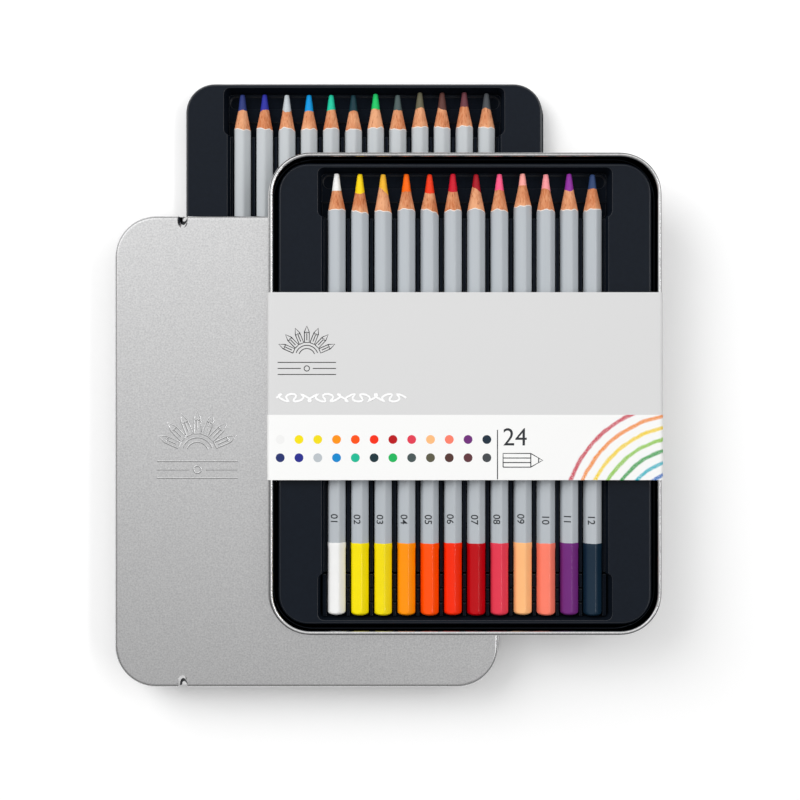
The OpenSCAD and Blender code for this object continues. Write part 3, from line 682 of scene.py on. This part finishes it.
def makePencil(number):
    core = f"core_{number:02d}"
    body = f"pencil_{number:02d}"
    low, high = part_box(core)
    start = Vector(((low.x + high.x) / 2, low.y, (low.z + high.z) / 2))
    roll = math.radians(rolls[number - 1])
    chance = random.Random(number)
    if number in edges:
        coreEdge, rimEdge = edges[number]
    else:
        coreEdge = [chance.uniform(*pencil["coreSpread"]) for _ in range(3)]
        rimEdge = [chance.uniform(*pencil["rimSpread"]) for _ in range(3)]
    ragged = chance.uniform(0, 50)

    # how far a cut edge strays at an angle; each edge has its own seed
    def rag(angle, size, seed):
        return size * noise.noise(Vector((
            pencil["ragWaves"] * math.cos(angle), pencil["ragWaves"] * math.sin(angle),
            ragged + seed)))

    def full(angle):
        return barrelRadius(angle, roll, pencil["sharpness"])

    def snug(angle):
        return full(angle) + pencil["dipThickness"]

    def dipped(angle):
        return barrelRadius(angle, roll, pencil["dipSharpness"]) + pencil["dipThickness"]

    def lacquerEnd(angle):
        flat = pencil["flats"] / 2
        thick = flat + pencil["scallop"] * (full(angle) - flat)
        back = (thick - pencil["core"] / 2) / woodSlope
        return (coreStart - back + acrossPencil(rimEdge, angle)
                + rag(angle, pencil["rimRag"], 0))

    def coreEnd(angle):
        return coreStart + acrossPencil(coreEdge, angle) + rag(angle, pencil["coreRag"], 9)

    def fillerEnd(angle):
        return lacquerEnd(angle) + pencil["filler"]

    def fillerRadius(angle):
        return full(angle) - pencil["fillerDrop"]

    # barrel, with the filler showing as a thin edge, then the wood
    rings = [
        (pencil["dip"] - 1.5, full, 0),
        (lambda a: lacquerEnd(a) - pencil["rimRound"], full, 0),
        (lacquerEnd, lambda a: full(a) - 0.04, 0),
        (fillerEnd, fillerRadius, 1),
    ]
    for share in (0.25, 0.5, 0.75, 1):
        rings.append((
            lambda a, s=share: fillerEnd(a) + (coreEnd(a) - fillerEnd(a)) * s,
            lambda a, s=share: fillerRadius(a) + (coneRadius(coreEnd(a)) - fillerRadius(a)) * s
            + rag(a, 0.05, 20 + 30 * s), 2))
    rings.append((lambda a: coreEnd(a) - 0.1, 0.4, 2))
    # the second tray's pencils get the paler copy, as painted light
    lacquer = frontLacquer if number <= pencil["perTray"] else secondLacquerPaintedLighter
    barrel = finishPiece(drawOut(rings, pencil["sides"], start), f"barrel{number:02d}",
                         [lacquer, cutFiller, caseWood], body)
    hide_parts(body)

    # the bare point of the core, seated in the wood
    tip = pencil["point"] / 2
    end = pencil["length"]
    blunt = end - 0.35
    rings = [
        (lambda a: coreEnd(a) - 0.8, lambda a: coneRadius(coreEnd(a)) - 0.25, 0),
        (lambda a: coreEnd(a) - 0.05, lambda a: coneRadius(coreEnd(a)) - 0.03, 0),
        (lambda a: coreEnd(a) + 0.1,
         lambda a: coneRadius(coreEnd(a) + 0.1) + rag(a, 0.06, 70), 0),
    ]
    for share in (0.3, 0.6, 0.85):
        rings.append((
            lambda a, s=share: coreEnd(a) + (blunt - coreEnd(a)) * s,
            lambda a, s=share: coneRadius(coreEnd(a) + (blunt - coreEnd(a)) * s)
            + rag(a, 0.08, 80 + 20 * s), 0))
    rings += [(blunt, tip + 0.03, 0), (end - 0.14, tip - 0.08, 0), (end - 0.03, tip - 0.3, 0),
              (end, tip * 0.3, 0)]
    wax = coreMaterial(f"waxPigment{number:02d}", pointColors[number - 1])
    finishPiece(drawOut(rings, pencil["coreSides"], start), f"point{number:02d}", [wax], body,
                bend=60)

    # the dipped end, rounded at the tail and drawn thin at its edge
    tail = pencil["tailRound"]
    spread = 1.3 * tail
    endRadius = pencil["corners"] / 2 + pencil["dipThickness"] - spread
    crown = 0.03
    dip = pencil["dip"]
    rings = [(0.0, 0.5, 0), (crown, endRadius, 0)]
    for turn in (15, 30, 45, 60, 75):
        t = math.radians(turn)
        rings.append((crown + tail - tail * math.cos(t),
                      lambda a, t=t: min(dipped(a), endRadius + spread * math.sin(t)), 0))
    rings += [(tail, dipped, 0), (dip - 3, dipped, 0), (dip - 1.6, snug, 0),
              (dip - 0.5, snug, 0),
              (lambda a: dip - 0.12 + rag(a, pencil["dipRag"], 40), lambda a: snug(a) - 0.03, 0),
              (lambda a: dip + rag(a, pencil["dipRag"], 40), lambda a: full(a) - 0.02, 0),
              (dip - 0.6, 2.5, 0)]
    gloss = dipMaterial(f"lacquerDip{number:02d}", dipColors[number - 1])
    dippedEnd = finishPiece(drawOut(rings, pencil["sides"], start), f"dip{number:02d}", [gloss],
                            body)
    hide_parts(core)

    # a plain number printed along the wide flat, read downwards
    lean = math.radians(30) - roll
    onFlat = (Matrix.Translation(start / mm + Vector((0, pencil["numberAt"], 0)))
              @ Matrix.Rotation(-lean, 4, "Y")
              @ Matrix.Translation((0, 0, pencil["flats"] / 2 + pencil["numberRise"]))
              @ Matrix.Rotation(math.radians(-90), 4, "Z"))
    digits = textMesh(f"number{number:02d}", f"{number:02d}", pencil["numberHeight"],
                      pencil["numberInk"], pencil["numberBold"])
    layMesh(digits, f"number{number:02d}", onFlat, greyInk, body)


for number in range(1, len(rolls) + 1):
    makePencil(number)
print("pencils made")

# Card band: the folds are rounded, the card is glued into a loop round the tin. In mm.
band = {"card": 0.35, "gap": 0.02, "length": 74.0, "shift": 3.0, "fold": 1.1, "crisp": 1.5,
        "shoulder": 8.4, "rimIn": 1.0, "steps": 8, "cutEdge": 0.01}


def makeBand():
    centre = tinMiddle / mm
    base = tinLow.z / mm
    half = (tinHigh.x - tinLow.x) / 2 / mm
    skin = band["gap"] + band["card"] / 2
    top = (tinHigh.z - tinLow.z) / mm + skin
    side = half + skin
    rim = half - band["rimIn"] + skin
    corners = [(-side, -skin), (side, -skin), (side, band["shoulder"] + skin), (rim, top),
               (-rim, top), (-side, band["shoulder"] + skin)]
    start = centre.y + band["shift"] - band["length"] / 2
    bm = bmesh.new()
    loop = []
    folds = []
    for corner, after in zip(corners, corners[1:] + corners[:1]):
        way = Vector(after) - Vector(corner)
        for along in (0, band["crisp"], way.length - band["crisp"]):  # keeps the panels flat
            x, z = Vector(corner) + way.normalized() * along
            loop.append(bm.verts.new((centre.x + x, start, base + z)))
        folds.append(loop[-3])
    bm.faces.new(loop)
    bmesh.ops.bevel(bm, geom=folds, offset=band["fold"], offset_type="OFFSET", segments=5,
                    profile=0.5, affect="VERTICES", material=-1)
    bmesh.ops.delete(bm, geom=bm.faces[:], context="FACES_ONLY")
    ring = list(bm.edges)
    for _ in range(band["steps"]):
        made = bmesh.ops.extrude_edge_only(bm, edges=ring)["geom"]
        bmesh.ops.translate(bm, verts=[g for g in made if isinstance(g, bmesh.types.BMVert)],
                            vec=(0, band["length"] / band["steps"], 0))
        ring = [g for g in made if isinstance(g, bmesh.types.BMEdge)]
    bmesh.ops.scale(bm, verts=bm.verts, vec=(mm, mm, mm))
    piece = finishPiece(bm, "cardBand", [printedCard, rawBoard], "band", bend=60)
    for edge in piece.data.edges:
        ends = [piece.data.vertices[v].co.y / mm - start for v in edge.vertices]
        if max(ends) < band["cutEdge"] or min(ends) > band["length"] - band["cutEdge"]:
            edge.use_edge_sharp = True
    thick = piece.modifiers.new("card", "SOLIDIFY")
    thick.thickness = band["card"] * mm
    thick.offset = 0
    thick.material_offset = 1
    thick.material_offset_rim = 1
    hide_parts("card_band")


makeBand()

# What is printed on the band: mark, scribble, a swatch for each pencil, rule, count, pencil.
# Places are in mm from the middle of the tin.
bandPrint = {
    "ink": 0.012, "mark": (-62.5, 14.6), "markSize": 0.7, "markStroke": 0.34,
    "scribble": (-74.5, -1.6), "scribbleLength": 50.0, "scribbleHigh": 1.5,
    "scribbleStroke": 0.9, "swatch": 3.5, "swatches": (-73.0, -18.0), "swatchStep": (7.4, 7.2),
    "perRow": 12, "rule": 12.6, "ruleTop": -14.2, "ruleFoot": 0.3, "ruleStroke": 0.4,
    "count": (19.5, -17.4), "countHeight": 7.3,
    "pencil": (14.8, -26.2), "pencilLength": 15.6, "pencilHalf": 2.7,
}


def printBand():
    ink = bandPrint["ink"]
    top = tinHigh.z / mm + band["gap"] + band["card"] + ink / 2
    centre = Vector((tinMiddle.x / mm, tinMiddle.y / mm, top))

    def laid(mesh, name, mat, x, y):
        layMesh(mesh, name, Matrix.Translation(centre + Vector((x, y, 0))), mat, "band")

    laid(strokeMesh("bandMark", fanPaths(bandPrint["markSize"]), bandPrint["markStroke"], ink),
         "bandMark", blackInk, *bandPrint["mark"])
    loops = [(bandPrint["scribbleLength"] * i / 120 + 1.2 * math.sin(i * 0.9),
              bandPrint["scribbleHigh"] * math.sin(i * 0.55)) for i in range(121)]
    laid(strokeMesh("bandScribble", [loops], bandPrint["scribbleStroke"], ink), "bandScribble",
         whiteInk, *bandPrint["scribble"])
    foot = band["shift"] - band["length"] / 2 + bandPrint["ruleFoot"]
    paths = [[(bandPrint["rule"], foot), (bandPrint["rule"], bandPrint["ruleTop"])]]
    right, below = bandPrint["pencil"]
    long, thick = bandPrint["pencilLength"], bandPrint["pencilHalf"]
    cut = long * 0.7
    third = thick / 3
    outline = [(0, -thick), (cut, -thick), (long, 0), (cut, thick), (0, thick), (0, -thick)]
    for path in (outline, [(cut, -thick), (cut, thick)], [(0, third), (cut, third)],
                 [(0, -third), (cut, -third)], [(long * 0.9, -third), (long * 0.9, third)]):
        paths.append([(right + x, below + y) for x, y in path])
    laid(strokeMesh("bandRule", paths, bandPrint["ruleStroke"], ink), "bandRule", greyInk, 0, 0)
    laid(textMesh("bandCount", str(len(rolls)), bandPrint["countHeight"], ink), "bandCount",
         greyInk, *bandPrint["count"])

    bm = bmesh.new()
    shade = bm.loops.layers.float_color.new("ink")
    for i, code in enumerate(dipColors):
        row, place = divmod(i, bandPrint["perRow"])
        x = bandPrint["swatches"][0] + bandPrint["swatchStep"][0] * place
        y = bandPrint["swatches"][1] - bandPrint["swatchStep"][1] * row
        made = bmesh.ops.create_circle(
            bm, cap_ends=True, segments=32, radius=bandPrint["swatch"] / 2 * mm,
            matrix=Matrix.Translation((centre + Vector((x, y, 0))) * mm))
        for face in {f for v in made["verts"] for f in v.link_faces}:
            for loop in face.loops:
                loop[shade] = fromHex(code)
    finishPiece(bm, "bandSwatches", [swatchInk], "band")


printBand()
print("band made")

# White paper under a soft key light from the upper left, a fill from the same place, a strip
# of light from the right, and a room that is brighter overhead and beyond. Sizes and places
# are in metres, powers in watts.
studio = {
    "floor": "#f4f4f4", "floorHalf": 6, "tooth": 0.002, "floorLift": 0.03, "farLift": 0.6,
    "farFrom": 0.25, "farTo": 1.5,
    "keyPower": 1.2, "keySize": (0.85, 0.85), "keyAt": (-0.72, 0.58, 0.9),
    "fillPower": 7.8, "fillSize": (0.85, 0.85), "fillAt": (-0.72, 0.58, 0.9),
    "stripPower": 2.4, "stripSize": (0.9, 0.12), "stripAt": (0.7, 0.0, 1.0),
    "roomLow": 0.16, "roomHigh": 0.7, "roomFront": 0.68, "roomBack": 1.72, "roomTurn": 0.32,
}


def makeStudio():
    bm = bmesh.new()
    bmesh.ops.create_grid(bm, x_segments=1, y_segments=1, size=studio["floorHalf"])
    mesh = bpy.data.meshes.new("floor")
    bm.to_mesh(mesh)
    bm.free()
    mat, tree, spot = newMaterial("paperSweep")
    tooth = addNode(tree, "ShaderNodeTexNoise", {
        "Vector": spot, "Scale": 1 / studio["tooth"]})
    bump = addNode(tree, "ShaderNodeBump", {
        "Height": tooth.outputs["Fac"], "Strength": 0.05, "Distance": 0.02 * mm})
    rays = addNode(tree, "ShaderNodeLightPath")
    seen = addNode(tree, "ShaderNodeMix", {
        0: rays.outputs["Is Camera Ray"], 6: fromHex(studio["floor"]), 7: fromHex("#ffffff")},
        data_type="RGBA")
    away = addNode(tree, "ShaderNodeVectorMath", {0: spot}, operation="LENGTH")
    farther = addNode(tree, "ShaderNodeMapRange", {
        "Value": away.outputs["Value"], "From Min": studio["farFrom"],
        "From Max": studio["farTo"], "To Min": studio["floorLift"], "To Max": studio["farLift"]})
    lift = addNode(tree, "ShaderNodeMath", {
        0: rays.outputs["Is Camera Ray"], 1: farther.outputs[0]}, operation="MULTIPLY")
    paper = addNode(tree, "ShaderNodeBsdfPrincipled", {
        "Base Color": seen.outputs[2], "Roughness": 0.9, "Specular IOR Level": 0.0,
        "Normal": bump.outputs[0], "Emission Color": fromHex("#ffffff"),
        "Emission Strength": lift.outputs[0]})
    addNode(tree, "ShaderNodeOutputMaterial", {"Surface": paper.outputs[0]})
    mesh.materials.append(mat)
    floor = bpy.data.objects.new("floor", mesh)
    bpy.context.scene.collection.objects.link(floor)

    # lamps aimed at the object; the fill stays out of reflections, so the metal doesn't glare
    for name in ("key", "fill", "strip"):
        lamp = bpy.data.lights.new(f"{name}Light", "AREA")
        lamp.shape = "RECTANGLE"
        lamp.size, lamp.size_y = studio[f"{name}Size"]
        lamp.energy = studio[f"{name}Power"]
        place = Vector(studio[f"{name}At"])
        holder = bpy.data.objects.new(f"{name}Light", lamp)
        holder.location = place
        holder.rotation_euler = (-place).to_track_quat("-Z", "Y").to_euler()
        holder.visible_glossy = name != "fill"
        bpy.context.scene.collection.objects.link(holder)

    world = bpy.data.worlds.new("room")
    bpy.context.scene.world = world
    world.use_nodes = True
    world.node_tree.nodes.clear()
    tree = world.node_tree
    way = addNode(tree, "ShaderNodeSeparateXYZ", {
        0: addNode(tree, "ShaderNodeTexCoord").outputs["Generated"]})
    up = addNode(tree, "ShaderNodeMapRange", {
        "Value": way.outputs[2], "To Min": studio["roomLow"], "To Max": studio["roomHigh"]})
    along = addNode(tree, "ShaderNodeMapRange", {
        "Value": way.outputs[1], "From Min": -studio["roomTurn"],
        "From Max": studio["roomTurn"], "To Min": studio["roomFront"],
        "To Max": studio["roomBack"]})
    lit = addNode(tree, "ShaderNodeMath", {
        0: up.outputs[0], 1: along.outputs[0]}, operation="MULTIPLY")
    rays = addNode(tree, "ShaderNodeLightPath")
    seen = addNode(tree, "ShaderNodeMix", {
        0: rays.outputs["Is Camera Ray"], 2: lit.outputs[0], 3: 1.0}, data_type="FLOAT")
    back = addNode(tree, "ShaderNodeBackground", {
        "Color": fromHex("#ffffff"), "Strength": seen.outputs[0]})
    addNode(tree, "ShaderNodeOutputWorld", {"Surface": back.outputs[0]})


makeStudio()
bpy.context.scene.view_settings.view_transform = "Standard"
print("studio made")
